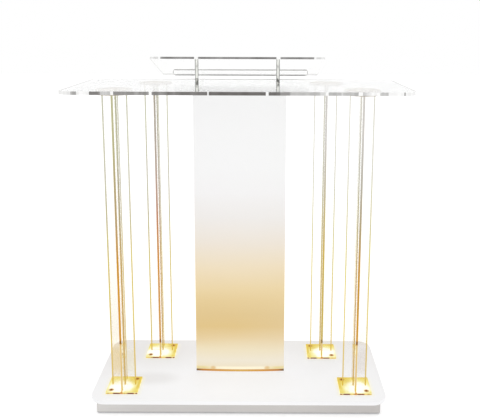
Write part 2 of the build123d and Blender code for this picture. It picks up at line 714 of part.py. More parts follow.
# Lanes that keep the wires to the lights clear of the driver and of each other.
FRONT_LANE_X = 230.0
REAR_LANE_X = 210.0
FRONT_LANE_Y = 0.0
REAR_LANE_Y = 14.0
light_wires = [
    wire(
        [
            (terminal_right, output_front_y),
            (FRONT_LANE_X, output_front_y),
            (FRONT_LANE_X, FRONT_LEG_Y),
            (FRONT_LEG_X - plug_half, FRONT_LEG_Y),
        ]
    ),
    wire(
        [
            (terminal_right, output_rear_y),
            (REAR_LANE_X - 25.0, output_rear_y),
            (REAR_LANE_X + 15.0, REAR_LEG_Y),
            (REAR_LEG_X - plug_half, REAR_LEG_Y),
        ]
    ),
    wire(
        [
            (TERMINAL_X - TERMINAL_PITCH, terminal_front),
            (TERMINAL_X - TERMINAL_PITCH, FRONT_LANE_Y),
            (-FRONT_LANE_X, FRONT_LANE_Y),
            (-FRONT_LANE_X, FRONT_LEG_Y),
            (-FRONT_LEG_X + plug_half, FRONT_LEG_Y),
        ]
    ),
    wire(
        [
            (TERMINAL_X, terminal_front),
            (TERMINAL_X, REAR_LANE_Y),
            (-REAR_LANE_X, REAR_LANE_Y),
            (-REAR_LANE_X, REAR_LEG_Y),
            (-REAR_LEG_X + plug_half, REAR_LEG_Y),
        ]
    ),
    wire(
        [
            (TERMINAL_X + TERMINAL_PITCH, terminal_front),
            (TERMINAL_X + TERMINAL_PITCH, CHANNEL_Y),
            (SLOT_LENGTH / 2, CHANNEL_Y),
        ]
    ),
]
save_group(light_wires, "light_wires")
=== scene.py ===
import json
import math

import bmesh
import bpy
from mathutils import Matrix, Vector


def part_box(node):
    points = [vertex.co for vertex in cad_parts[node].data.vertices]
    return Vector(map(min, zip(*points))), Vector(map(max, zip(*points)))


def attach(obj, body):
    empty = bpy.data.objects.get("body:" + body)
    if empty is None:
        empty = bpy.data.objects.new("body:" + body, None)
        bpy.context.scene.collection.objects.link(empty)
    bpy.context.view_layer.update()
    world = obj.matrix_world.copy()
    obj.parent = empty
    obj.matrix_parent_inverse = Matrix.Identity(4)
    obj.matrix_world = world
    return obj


# Looks of the presentation lectern: clear polished acrylic lit from its white base.
# Metres, in the frame of the CAD part: +Z up, -Y towards the audience.
# A span of a position is given as (start, end, value at the start, value at the end). Most of them are a few
# millimetres long, and make the soft edge of a painted line.

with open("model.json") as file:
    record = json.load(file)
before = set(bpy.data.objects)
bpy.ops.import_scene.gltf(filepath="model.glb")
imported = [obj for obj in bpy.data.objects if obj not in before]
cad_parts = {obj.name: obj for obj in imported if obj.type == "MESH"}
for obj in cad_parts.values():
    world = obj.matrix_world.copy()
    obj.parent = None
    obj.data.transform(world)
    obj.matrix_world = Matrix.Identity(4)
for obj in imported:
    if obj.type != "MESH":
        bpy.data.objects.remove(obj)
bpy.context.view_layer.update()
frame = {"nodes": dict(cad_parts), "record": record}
nodes = frame["nodes"]
slots = {part["node"]: part["material_slot"] for part in frame["record"]["subparts"]}

# ---------------------------------------------------------------- places, from the frame
LEG_PLACES = ("front_left", "front_right", "rear_left", "rear_right")


def centre_of(node):
    low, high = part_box(node)
    return (low + high) / 2


leg_centres = {place: centre_of(f"leg_{place}_web") for place in LEG_PLACES}
leg_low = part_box("leg_front_left_web")[0].z
leg_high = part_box("leg_front_left_web")[1].z
foot_half = (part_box("leg_front_left_foot")[1].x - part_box("leg_front_left_foot")[0].x) / 2
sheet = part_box("leg_front_left_web")[1].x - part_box("leg_front_left_web")[0].x
panel_low, panel_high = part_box("centre_panel")
board_low, board_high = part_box("reading_board")
shelf_low, shelf_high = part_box("shelf")
plate_low, plate_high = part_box("base_plate")
lip_low, lip_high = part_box("board_lip")
bracket_x = centre_of("board_bracket_right").x
CLIP_HALF = 0.007  # half the width of a clip
clip_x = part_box("panel_clips")[1].x - CLIP_HALF


# ---------------------------------------------------------------- node building
ACRYLIC_IOR = 1.49


class Graph:
    """Short names for the nodes that the materials are made of."""

    def __init__(self, name):
        self.material = bpy.data.materials.new(name)
        self.material.use_nodes = True
        self.tree = self.material.node_tree
        self.tree.nodes.clear()
        self.output = self.tree.nodes.new("ShaderNodeOutputMaterial")

    def node(self, kind, **settings):
        made = self.tree.nodes.new(kind)
        for key, value in settings.items():
            setattr(made, key, value)
        return made

    def put(self, socket, value):
        """Sets a socket, or links it where the value is another node's output."""
        if isinstance(value, bpy.types.NodeSocket):
            self.tree.links.new(value, socket)
        elif isinstance(value, (tuple, list)) and len(value) == 3 and socket.type == "RGBA":
            socket.default_value = (*value, 1.0)
        else:
            socket.default_value = value

    def maths(self, operation, *values, clamp=False):
        made = self.node("ShaderNodeMath", operation=operation, use_clamp=clamp)
        for socket, value in zip(made.inputs, values):
            self.put(socket, value)
        return made.outputs[0]

    def plus(self, a, b, clamp=False):
        return self.maths("ADD", a, b, clamp=clamp)

    def less(self, a, b):
        return self.maths("SUBTRACT", a, b)

    def over(self, a, b):
        return self.maths("DIVIDE", a, b)

    def magnitude(self, a):
        return self.maths("ABSOLUTE", a)

    def above(self, a, b):
        """1 where a is more than b, else 0."""
        return self.maths("GREATER_THAN", a, b)

    def below(self, a, b):
        """1 where a is less than b, else 0."""
        return self.maths("LESS_THAN", a, b)

    def fold(self, operation, values):
        total = values[0]
        for value in values[1:]:
            total = self.maths(operation, total, value)
        return total

    def times(self, *values):
        return self.fold("MULTIPLY", values)

    def most(self, *values):
        return self.fold("MAXIMUM", values)

    def distance(self, a, b):
        """How far the flat point (a, b) is from the origin."""
        return self.maths("SQRT", self.plus(self.times(a, a), self.times(b, b)))

    def vector(self, operation, *values):
        made = self.node("ShaderNodeVectorMath", operation=operation)
        for socket, value in zip(made.inputs, values):
            self.put(socket, value)
        return made.outputs["Value" if operation in ("DOT_PRODUCT", "LENGTH", "DISTANCE") else "Vector"]

    def place(self):
        """The point in the row frame, as x, y and z."""
        parts = self.node("ShaderNodeSeparateXYZ")
        self.put(parts.inputs[0], self.node("ShaderNodeTexCoord").outputs["Object"])
        return parts.outputs

    def point(self):
        return self.node("ShaderNodeTexCoord").outputs["Object"]

    def span(self, value, start, end, low=0.0, high=1.0, smooth=False):
        """Carries value from start..end to low..high, held at both ends."""
        made = self.node("ShaderNodeMapRange", clamp=True)
        if smooth:
            made.interpolation_type = "SMOOTHSTEP"
        limits = {"Value": value, "From Min": start, "From Max": end, "To Min": low, "To Max": high}
        for key, number in limits.items():
            self.put(made.inputs[key], number)
        return made.outputs[0]

    def ramp(self, value, stops, steps=False):
        """A colour ramp; stops are (position, colour) pairs, blended or in plain steps."""
        made = self.node("ShaderNodeValToRGB")
        if steps:
            made.color_ramp.interpolation = "CONSTANT"
        elements = made.color_ramp.elements
        while len(elements) < len(stops):
            elements.new(0.5)
        for element, (position, colour) in zip(elements, stops):
            element.position = position
            element.color = (*colour, 1.0)
        self.put(made.inputs[0], value)
        return made.outputs[0]

    def mix(self, share, a, b, how="MIX"):
        made = self.node("ShaderNodeMix", data_type="RGBA", blend_type=how)
        self.put(made.inputs[0], share)
        self.put(made.inputs[6], a)
        self.put(made.inputs[7], b)
        return made.outputs[2]

    def choose(self, share, a, b):
        """Goes from number a to number b with a share from 0 to 1."""
        made = self.node("ShaderNodeMix", data_type="FLOAT")
        for socket, value in zip((made.inputs[0], made.inputs[2], made.inputs[3]), (share, a, b)):
            self.put(socket, value)
        return made.outputs[0]

    def glint(self):
        made = self.node("ShaderNodeFresnel")
        made.inputs["IOR"].default_value = ACRYLIC_IOR
        return made.outputs[0]

    def noise(self, scale, detail=3.0, stretch=(1.0, 1.0, 1.0), roughness=0.5):
        mapping = self.node("ShaderNodeMapping")
        self.put(mapping.inputs["Vector"], self.point())
        mapping.inputs["Scale"].default_value = stretch
        made = self.node("ShaderNodeTexNoise")
        self.put(made.inputs["Vector"], mapping.outputs[0])
        self.put(made.inputs["Scale"], scale)
        self.put(made.inputs["Detail"], detail)
        self.put(made.inputs["Roughness"], roughness)
        return made.outputs["Fac"]

    def bump(self, height, strength, distance):
        made = self.node("ShaderNodeBump")
        self.put(made.inputs["Height"], height)
        made.inputs["Strength"].default_value = strength
        made.inputs["Distance"].default_value = distance
        return made.outputs[0]

    def normal(self):
        """The way that the surface faces, as x, y and z."""
        parts = self.node("ShaderNodeSeparateXYZ")
        self.put(parts.inputs[0], self.node("ShaderNodeNewGeometry").outputs["Normal"])
        return parts.outputs

    def facing(self, direction):
        """How squarely the surface faces along a direction or against it, 0 to 1."""
        normal = self.node("ShaderNodeNewGeometry").outputs["Normal"]
        return self.maths("ABSOLUTE", self.vector("DOT_PRODUCT", normal, direction))

    def edge_of_sheet(self, sheet_normal):
        """1 on the cut edges of a sheet and 0 on its two faces."""
        return self.maths("LESS_THAN", self.facing(sheet_normal), 0.75)

    def principled(self, **values):
        made = self.node("ShaderNodeBsdfPrincipled")
        for key, value in values.items():
            self.put(made.inputs[key.replace("_", " ")], value)
        return made.outputs[0]

    def lit(self, colour, alpha=1.0, roughness=0.2, own_light=0.5, shine=0.2):
        """A surface whose colour is partly a painted glow: emission that stands in for the light the base
        feeds into it.
        """
        return self.principled(
            Base_Color=self.mix(own_light, colour, BLACK),
            Roughness=roughness,
            IOR=ACRYLIC_IOR,
            Specular_IOR_Level=shine,
            Alpha=alpha,
            Emission_Color=colour,
            Emission_Strength=own_light,
        )

    def mix_shader(self, share, a, b):
        made = self.node("ShaderNodeMixShader")
        self.put(made.inputs[0], share)
        self.put(made.inputs[1], a)
        self.put(made.inputs[2], b)
        return made.outputs[0]

    def finish(self, shader):
        self.put(self.output.inputs["Surface"], shader)
        return self.material


def srgb(red, green, blue):
    """A colour given as the eye names it, 0 to 255, as linear light."""
    channels = []
    for value in (red, green, blue):
        share = value / 255
        channels.append(share / 12.92 if share <= 0.04045 else ((share + 0.055) / 1.055) ** 2.4)
    return tuple(channels)


# ---------------------------------------------------------------- clear acrylic
ACROSS = (1.0, 0.0, 0.0)
UP = (0.0, 0.0, 1.0)
BLACK = (0.0, 0.0, 0.0)
WHITE = (1.0, 1.0, 1.0)

# The clear faces carry a painted reflection of the white room: a faint white that shows more when seen along
# their plane.
FACE_TONE = srgb(252, 253, 252)
FACE_SHARE = 0.015  # how much a clear face shows when seen square on
GLINT_SHARE = 0.08  # how much more it shows when seen along its plane


def clear_sheet(name, sheet_normal, edge_tone):
    """Polished sheet: faces that hardly show but for a faint painted reflection, and cut edges given by
    edge_tone(g) as (colour, alpha).
    """
    g = Graph(name)
    edge = g.edge_of_sheet(sheet_normal)
    colour, alpha = edge_tone(g)
    smear = g.noise(9.0, 4.0, roughness=0.6)
    face_alpha = g.plus(FACE_SHARE, g.times(g.glint(), GLINT_SHARE))
    shade = g.mix(edge, FACE_TONE, colour)
    return g.finish(
        g.lit(shade, g.choose(edge, face_alpha, alpha), roughness=g.span(smear, 0.45, 0.8, 0.03, 0.1))
    )


def bands(g, value, reach, stretches):
    """Tone along an edge from -reach to reach, in steps: each stretch is (where it starts, tone)."""
    stops = [((start + reach) / (2 * reach), (tone, tone, tone)) for start, tone in stretches]
    return g.ramp(g.span(value, -reach, reach), [(max(at, 0.0), tone) for at, tone in stops], steps=True)


def shelf_front_tones(half):
    """The shelf's front edge from left to right, in painted light and shade: a dark painted reflection in the
    middle, with bright breaks painted where the legs and other parts show through it, and lighter, streaked
    ends.
    """
    return [
        (-half, 0.78),
        (-0.475, 0.3),
        (-0.462, 0.86),
        (-0.422, 0.12),
        (-0.392, 0.45),
        (-0.362, 1.0),
        (-0.354, 0.2),
        (-0.254, 0.97),
        (-0.245, 0.14),
        (-0.2, 0.07),
        (-clip_x - 0.003, 0.95),
        (-clip_x + 0.003, 0.03),
        (clip_x - 0.006, 0.95),
        (clip_x + 0.001, 0.04),
        (0.119, 0.22),
        (0.146, 0.42),
        (0.234, 0.62),
        (0.248, 1.0),
        (0.256, 0.36),
        (0.293, 0.62),
        (0.297, 0.42),
        (0.343, 1.0),
        (0.356, 0.6),
        (0.381, 0.88),
        (0.402, 0.5),
        (0.426, 0.92),
        (0.471, 0.25),
        (0.478, 0.88),
    ]


# Painted shade and light of the shelf's cut edges, from their darkest to their lightest.
SHELF_DARK = srgb(92, 88, 85)
SHELF_LIGHT = srgb(250, 250, 249)
SHEEN_SHARE = 0.85  # of the faces' gloss that is soft, so that it doesn't mirror the lip


def shelf_faces(g):
    """Faces that bend light, with a soft gloss at low angles."""
    smear = g.noise(9.0, 4.0, roughness=0.6)
    polish = g.span(smear, 0.5, 0.8, 0.0, 0.02)
    mirroring = g.principled(
        Base_Color=(0.993, 0.997, 0.995),
        Roughness=polish,
        IOR=ACRYLIC_IOR,
        Transmission_Weight=1.0,
    )
    plain = g.node("ShaderNodeBsdfRefraction")
    g.put(plain.inputs["Color"], (0.99, 0.995, 0.99))
    g.put(plain.inputs["Roughness"], polish)
    g.put(plain.inputs["IOR"], ACRYLIC_IOR)
    sheen = g.node("ShaderNodeBsdfGlossy")
    g.put(sheen.inputs["Color"], WHITE)
    g.put(sheen.inputs["Roughness"], 0.2)
    soft = g.mix_shader(g.glint(), plain.outputs[0], sheen.outputs[0])
    return g.mix_shader(SHEEN_SHARE, mirroring, soft)


def shelf_material():
    """Thick polished sheet: clear faces, and cut edges grey with painted reflection and shade, painted also
    on the faces beside them where the edges show through.
    """
    g = Graph("acrylic_shelf")
    x, y = g.place()[:2]
    away = g.magnitude(x)
    half = shelf_high.x
    tone = bands(g, x, half, shelf_front_tones(half))
    # Painted lighter streaks of reflected light on the front edge, stronger towards the ends.
    light_streaks = g.span(g.noise(70.0, 4.0, stretch=(1.0, 0.05, 0.05)), 0.45, 0.75, 0.0, 0.3)
    light_streaks = g.times(light_streaks, g.span(away, 0.1, 0.42, 0.15, 1.0))
    tone = g.plus(tone, light_streaks, clamp=True)
    # The back edge's tone: painted shade, darkest in the middle.
    back = g.plus(g.span(away, 0.17, 0.24, 0.0, 0.62), g.span(away, 0.3, 0.4, 0.0, 0.2), clamp=True)
    at_back = g.span(y, shelf_high.y - 0.05, shelf_high.y - 0.03)
    behind_front = g.span(y, shelf_low.y + 0.02, shelf_low.y + 0.04)
    at_side = g.times(behind_front, g.above(away, half - 0.03))
    side_tone = 0.72
    tone = g.choose(at_side, tone, side_tone)
    tone = g.choose(at_back, tone, back)
    edges = g.lit(g.mix(tone, SHELF_DARK, SHELF_LIGHT), roughness=0.4)
    # Painted images of the back and side edges on the faces beside them, where the edges show through.
    back_rim = g.span(g.less(shelf_high.y, y), 0.012, 0.020, 0.95, 0.0)
    side_rim = g.span(g.less(half, away), 0.007, 0.009, 0.8, 0.0)
    share = g.most(g.edge_of_sheet(UP), back_rim, side_rim)
    return g.finish(g.mix_shader(share, shelf_faces(g), edges))


BRACKET_HALF = 0.005
# Painted shade and light of the board's cut edges.
BOARD_DARK = srgb(78, 74, 72)
BOARD_LIGHT = srgb(246, 246, 245)


def board_edge(g):
    """Painted light and shade on the board's cut edges: grey along the high edge, light at the brackets and
    near the ends, faint on the sides and low edge.
    """
    x, y = g.place()[:2]
    away = g.magnitude(x)
    half = board_high.x
    stretches = [
        (-half, 0.05),
        (0.0, 0.05),
        (bracket_x - BRACKET_HALF, 0.93),
        (bracket_x + BRACKET_HALF + 0.001, 0.05),
        (half - 0.033, 0.97),
        (half - 0.026, 0.5),
        (half - 0.012, 0.7),
    ]
    tone = bands(g, away, half, stretches)
    wander = g.span(g.noise(30.0, 3.0, stretch=(1.0, 0.1, 0.1)), 0.35, 0.7, 0.0, 0.15)
    tone = g.plus(tone, wander, clamp=True)
    side_tone = 0.66
    tone = g.choose(g.above(g.facing(ACROSS), 0.5), tone, side_tone)
    at_low_edge = g.span(y, board_high.y - 0.03, board_high.y - 0.02)
    low_tone = g.span(away, lip_high.x - 0.01, lip_high.x + 0.01, 0.92, 0.8)
    tone = g.choose(at_low_edge, tone, low_tone)
    return g.mix(tone, BOARD_DARK, BOARD_LIGHT), g.span(tone, 0.0, 1.0, 0.98, 0.5)


DRAWN = 0.01  # a line shows where its share is more than this
LIP_GREY = srgb(150, 148, 145)
LIP_FOOT_GREY = srgb(96, 93, 90)


def lip_material():
    """The lip's clear sheet with painted shade lines where its cut edges show: a fine grey line along its
    top, and a darker one where it meets the board.
    """
    g = Graph("acrylic_lip")
    x, _, z = g.place()
    away = g.magnitude(x)
    wander = g.span(g.noise(30.0, 3.0, stretch=(1.0, 0.1, 0.1)), 0.35, 0.7, 0.0, 0.12)
    top_line = g.span(g.less(lip_high.z, z), 0.0030, 0.0040, 0.75, 0.0)
    foot_line = g.span(g.less(z, lip_low.z), 0.0034, 0.0042, 0.95, 0.0)
    foot_line = g.times(foot_line, g.span(away, 0.2, 0.217, 1.0, 0.4))
    end_line = g.span(g.less(lip_high.x, away), 0.0016, 0.0026, 0.5, 0.0)
    cut_edge = g.times(g.edge_of_sheet(lip_normal), 0.9)
    line = g.most(top_line, end_line, foot_line, cut_edge)
    grey = g.mix(g.above(foot_line, DRAWN), LIP_GREY, LIP_FOOT_GREY)
    grey = g.mix(wander, grey, BOARD_LIGHT)
    shade = g.mix(g.above(line, DRAWN), FACE_TONE, grey)
    face_alpha = g.plus(FACE_SHARE, g.times(g.glint(), GLINT_SHARE))
    return g.finish(g.lit(shade, g.most(line, face_alpha), roughness=0.1))


BRACKET_DARK = srgb(84, 84, 80)
BRACKET_LIGHT = srgb(234, 235, 230)


def bracket_edge(side):
    """Painted light and shade on a bracket's cut edges: a light front edge between grey outlines, with a dark
    stretch below the middle, and a faint rear edge.
    """

    def tone_of(g):
        x, y, z = g.place()
        low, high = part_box(f"board_bracket_{side}")
        middle = (low + high) / 2
        half = (high.x - low.x) / 2
        off = g.magnitude(g.less(x, middle.x))
        rise = g.less(z, shelf_high.z)
        outline = g.span(off, half - 0.0026, half - 0.0016, 0.0, 0.72)
        stretch = g.times(
            g.span(rise, 0.009, 0.012),
            g.span(rise, 0.012, 0.022, 0.4, 1.0),
            g.span(rise, 0.036, 0.039, 1.0, 0.0),
            g.span(off, half - 0.002, half, 1.0, 0.3),
            g.span(g.noise(210.0, 2.0, stretch=(1.0, 0.2, 0.6)), 0.38, 0.5, 0.35, 1.0),
        )
        # A painted dark band higher up the front edge.
        dark_band = g.times(g.span(rise, 0.066, 0.071), g.span(rise, 0.072, 0.077, 0.35, 0.0))
        dark = g.most(outline, stretch, dark_band)
        wander = g.span(g.noise(60.0, 3.0, stretch=(0.5, 0.5, 1.0)), 0.35, 0.7, -0.05, 0.15)
        tone = g.less(1.0, g.plus(dark, wander, clamp=True))
        at_front = g.times(g.below(g.normal()[1], -0.3), g.below(y, middle.y))
        rear_tone = 0.8
        rear_alpha = 0.12
        tone = g.choose(at_front, rear_tone, tone)
        return g.mix(tone, BRACKET_DARK, BRACKET_LIGHT), g.choose(at_front, rear_alpha, 0.95)

    return tone_of


# ---------------------------------------------------------------- legs
# Painted glow and shade of the legs' cut edges by height: the first is at the top of the feet's glow, the
# last at the shelf.
TONE_HEIGHTS = (0.0, 0.17, 0.335, 0.5, 0.66, 0.83, 1.0)
FRONT_TONES = {
    "front_left": (
        (210, 150, 46), (214, 154, 50), (203, 146, 42), (183, 156, 112),
        (179, 162, 118), (184, 179, 136), (192, 190, 152),
    ),
    "rear_left": (
        (208, 152, 66), (214, 156, 78), (212, 148, 68), (194, 138, 106),
        (186, 162, 148), (180, 170, 158), (181, 174, 158),
    ),
    "front_right": (
        (214, 156, 50), (202, 150, 48), (200, 148, 54), (176, 158, 118),
        (184, 179, 166), (204, 200, 194), (212, 209, 204),
    ),
    "rear_right": (
        (204, 180, 84), (206, 180, 90), (206, 178, 86), (198, 184, 134),
        (200, 194, 177), (214, 211, 206), (213, 211, 207),
    ),
}
SIDE_TONES = {
    "left": (
        (220, 204, 134), (220, 206, 136), (220, 208, 146), (205, 201, 176),
        (212, 210, 198), (218, 218, 200), (216, 217, 204),
    ),
    "right": (
        (230, 219, 168), (230, 218, 172), (225, 220, 168), (226, 225, 204),
        (231, 231, 224), (239, 239, 237), (242, 242, 241),
    ),
}
# The height above the floor at which a leg's line turns from the foot's painted glow to the painted tones
# above it.
STANDING_GLOW = {"front": 0.218, "rear": 0.1085}
# How far each kind of line has gone from the front tones to the side tones.
TOWARDS_SIDE = {"front": 0.0, "joint": 0.5, "side": 1.0}
# What the fine lines are multiplied by: a painted warm glow low on a leg, and high on it a tint by kind.
LOW_TINT = (0.97, 0.88, 0.52)
HIGH_TINT = {"joint": (0.96, 0.95, 0.87), "side": (0.88, 0.87, 0.80)}
# Painted glow of the feet and the legs' lines, a painted dark spot and a painted pale highlight beside the
# front edges.
FOOT_GOLD = srgb(228, 198, 84)
FRONT_GLOW = srgb(224, 188, 112)
SIDE_GLOW = srgb(226, 206, 146)
DARK_SPOT = srgb(104, 52, 34)
PALE_FLANK = srgb(246, 236, 208)


def by_height(g, share, tones):
    """A colour ramp over the tones' heights."""
    return g.ramp(share, [(at, srgb(*tone)) for at, tone in zip(TONE_HEIGHTS, tones)])


def lit_edge(g, place, kind):
    """Painted glow and shade of a leg's line, by kind: its front edge, a joint, or a side, which is paler."""
    x, _, z = g.place()
    row, hand = place.split("_")
    turn = STANDING_GLOW[row]
    wander = g.span(g.noise(5.0, 2.0, stretch=(1.0, 1.0, 0.6)), 0.3, 0.7, -0.035, 0.035)
    share = g.plus(g.span(z, turn, leg_high), wander, clamp=True)
    front = by_height(g, share, FRONT_TONES[place])
    side = by_height(g, share, SIDE_TONES[hand])
    colour = g.mix(TOWARDS_SIDE[kind], front, side)
    glow = g.mix(TOWARDS_SIDE[kind], FRONT_GLOW, SIDE_GLOW)
    glow = g.mix(g.span(z, leg_low + 0.006, leg_low + 0.03), FOOT_GOLD, glow)
    colour = g.mix(g.span(z, turn - 0.004, turn), glow, colour)
    if kind != "front":
        tint = g.mix(g.span(z, turn + 0.2, turn + 0.55), LOW_TINT, HIGH_TINT[kind])
        return g.mix(1.0, colour, tint, "MULTIPLY")
    # A painted dark spot on the front edge where the foot's glow ends, and a painted pale highlight beside
    # it.
    spot = g.times(g.span(z, turn - 0.002, turn + 0.001), g.span(z, turn + 0.009, turn + 0.014, 1.0, 0.0))
    colour = g.mix(g.times(spot, 0.62), colour, DARK_SPOT)
    off = g.magnitude(g.less(x, leg_centres[place].x))
    flank = g.times(g.span(z, turn - 0.004, turn, 0.75, 0.0), g.span(off, 0.0012, 0.0024))
    return g.mix(flank, colour, PALE_FLANK)


# How far the painted glow reaches into a web from its back end.
WEB_GLOW = {"front_left": 0.011, "rear_left": 0.014, "front_right": 0.005, "rear_right": 0.006}


def web_material(place):
    """The middle sheet of a leg: faces that bend light, and front and back edges with a painted glow that
    also reaches onto the faces beside them.
    """
    g = Graph(f"acrylic_web_{place}")
    y = g.place()[1]
    low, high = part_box(f"leg_{place}_web")
    faces = g.principled(
        Base_Color=(0.995, 0.997, 0.99),
        Roughness=0.0,
        IOR=ACRYLIC_IOR,
        Transmission_Weight=1.0,
    )
    deep = WEB_GLOW[place]
    behind = g.less(high.y, y)
    ahead = g.less(y, low.y)
    back_rim = g.span(behind, deep * 0.8, deep * 1.1, 0.95, 0.0)
    front_rim = g.span(ahead, 0.0012, 0.0022, 0.9, 0.0)
    share = g.most(g.edge_of_sheet(ACROSS), back_rim, front_rim)
    past_glow = g.span(behind, deep * 1.3, deep * 1.4)
    colour = g.mix(past_glow, lit_edge(g, place, "side"), lit_edge(g, place, "front"))
    return g.finish(g.mix_shader(share, faces, g.lit(colour, roughness=0.5, shine=0.0)))


# How much painted warm glow the faces of the fins have low down, on a leg's outer side and on its inner side.
FIN_WARM_GLOW = {"outer": 0.105, "inner": 0.03}
FRONT_LEFT_MORE_GLOW = 2.0
WARM_GLOW_FACE = srgb(215, 192, 128)


def tan_light(g, z, tint):
    """How much painted tan light a fin catches at a height, by its row in TAN_LIGHT."""
    share, foot_z, low_z, high_z, top_z = tint[1:]
    rising = g.span(z, foot_z, low_z, smooth=True)
    falling = g.span(z, high_z, top_z, 1.0, 0.0, smooth=True)
    uneven = g.span(g.noise(14.0, 3.0), 0.3, 0.7, 0.85, 1.1)
    return g.times(g.times(rising, falling), g.times(uneven, share))


def fin_material(place, side, tint=None):
    """A side sheet of a leg: its two ends have a painted glow, its faces are clear but for a painted warm
    glow low down and a painted reflection along their plane, and some catch the panel's painted tan light.
    """
    g = Graph(f"acrylic_fin_{place}_{side}")
    x, _, z = g.place()
    low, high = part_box(f"leg_{place}_fin_{side}")
    outer_end, inner_end = (low.x, high.x) if side == "left" else (high.x, low.x)
    outer = place.endswith(side)
    rim = g.span(g.magnitude(g.less(x, outer_end)), 0.0027, 0.0037, 0.92, 0.0)
    end_face = g.times(g.above(g.facing(ACROSS), 0.7), 0.95)
    line = g.most(end_face, rim)
    bonded = 0.0
    if not outer:
        bonded = g.span(g.magnitude(g.less(x, inner_end)), 0.0016, 0.0026, 0.6, 0.0)
        line = g.most(line, bonded)
    colour = g.mix(g.above(bonded, DRAWN), lit_edge(g, place, "side"), lit_edge(g, place, "joint"))
    height = g.plus(z, g.span(g.noise(5.0, 2.0), 0.3, 0.7, -0.03, 0.03))
    warm = FIN_WARM_GLOW["outer" if outer else "inner"]
    if place == "front_left":
        warm *= FRONT_LEFT_MORE_GLOW
    # Painted warm glow low on the faces, and a painted reflection when seen along their plane.
    warm_glow = g.times(g.span(height, 0.22, 0.72, warm, warm * 0.15), g.span(z, 0.08, 0.2, 0.5, 1.0))
    face_alpha = g.most(warm_glow, g.times(g.glint(), 0.2))
    face_colour = WARM_GLOW_FACE
    if tint is not None:
        caught = tan_light(g, z, tint)
        face_colour = g.mix(g.span(caught, 0.0, 0.12), face_colour, tint[0])
        face_alpha = g.most(face_alpha, caught)
    shade = g.mix(g.above(line, DRAWN), face_colour, colour)
    return g.finish(g.lit(shade, g.most(line, face_alpha), roughness=0.3, shine=0.05))


DISC_CEMENT = srgb(214, 206, 194)
DISC_RIM = srgb(158, 146, 130)
RIM_SHARE = 0.65  # how much of a disc's rim shows


def disc_material():
    """Thin round of clear acrylic under the shelf; only its rim and the cement under it show."""
    g = Graph("acrylic_disc")
    edge = g.edge_of_sheet(UP)
    cement = g.span(g.noise(26.0, 3.0), 0.42, 0.66, 0.25, 0.65)
    # Half of its colour is a painted glow, through lit.
    return g.finish(g.lit(g.mix(edge, DISC_CEMENT, DISC_RIM), g.choose(edge, cement, RIM_SHARE)))


# Places on a foot are shares of its half side: across is counted outwards from the leg, and back is away from
# the audience.
SCREW_AT = 0.7  # both ways, on the diagonal from outside front to inside back
# Colours of the feet's painted glow, with brown for the screws and for the dashes on the front.
SCREW_BROWN = srgb(196, 140, 50)
LIGHT_POOL_GOLD = srgb(224, 194, 60)
GLOW_LINE_ORANGE = srgb(222, 164, 60)
SIDE_GOLD = srgb(226, 196, 70)
SIDE_PALE = srgb(250, 236, 140)
FRONT_GOLD = srgb(236, 206, 112)
FRONT_PALE = srgb(252, 244, 176)
FRONT_ORANGE = srgb(206, 124, 38)
MARK_DARK = srgb(118, 40, 14)
MARK_LIGHT = srgb(150, 78, 30)


def foot_top(g, across, back):
    """Painted glow on a foot's top by distance from its brightest place, with painted pools of gold light and
    brown screw rings.
    """
    away = g.distance(g.less(across, 0.18), g.plus(back, 0.3))
    away = g.plus(away, g.span(g.noise(34.0, 3.0, stretch=(1.0, 0.5, 1.0)), 0.3, 0.7, -0.16, 0.16))
    top = g.ramp(
        g.over(away, 1.6),
        [
            (0.0, (1.3, 1.28, 1.15)),
            (0.4, (1.12, 1.08, 0.9)),
            (0.52, srgb(250, 243, 180)),
            (0.64, srgb(242, 228, 136)),
            (0.80, srgb(234, 210, 92)),
            (1.0, srgb(222, 186, 56)),
        ],
    )
    # Painted pools of gold light: a strip along the inner side and a broken patch in the inner back corner.
    inner_strip = g.times(g.span(across, -0.86, -0.8, 1.0, 0.0), g.span(back, -0.7, -0.3))
    corner_pool = g.times(g.span(across, 0.0, -0.45), g.span(back, 0.0, 0.5))
    broken = g.span(g.noise(60.0, 3.0), 0.35, 0.6, 0.4, 1.0)
    light_pools = g.most(inner_strip, g.times(corner_pool, broken))
    top = g.mix(g.times(light_pools, 0.8), top, LIGHT_POOL_GOLD)
    for screw in (-SCREW_AT, SCREW_AT):
        ring = g.distance(g.less(across, screw), g.plus(back, screw))
        top = g.mix(g.span(ring, 0.14, 0.2, 0.75, 0.0), top, SCREW_BROWN)
    # A painted orange line of glow in the middle of the foot's front.
    glow_line = g.times(g.span(g.magnitude(across), 0.04, 0.06, 0.8, 0.0), g.span(back, -0.78, -0.74, 1.0, 0.0))
    return g.mix(glow_line, top, GLOW_LINE_ORANGE)


def foot_front(g, across, z):
    """A foot's front side in painted glow: gold, pale at its bottom and orange in the middle, with brown
    dashes.
    """
    outer_dash = g.times(g.span(across, 0.06, 0.12), g.span(across, 0.50, 0.56, 1.0, 0.0))
    inner_dash = g.times(g.span(across, -0.80, -0.76), g.span(across, -0.40, -0.34, 1.0, 0.0))
    corner = g.times(g.span(across, -0.86, -0.90), 0.9)
    trace = g.span(g.noise(90.0, 2.0, stretch=(1.0, 0.1, 0.1)), 0.5, 0.6, 0.0, 0.45)
    marks = g.most(outer_dash, inner_dash, corner, trace)
    brown = g.mix(g.span(g.noise(50.0, 1.0), 0.4, 0.6), MARK_DARK, MARK_LIGHT)
    front = g.mix(marks, FRONT_GOLD, brown)
    front = g.mix(g.span(z, leg_low - 0.0022, leg_low - 0.0014, 1.0, 0.0), FRONT_PALE, front)
    return g.mix(g.span(g.magnitude(across), 0.05, 0.09, 0.9, 0.0), front, FRONT_ORANGE)


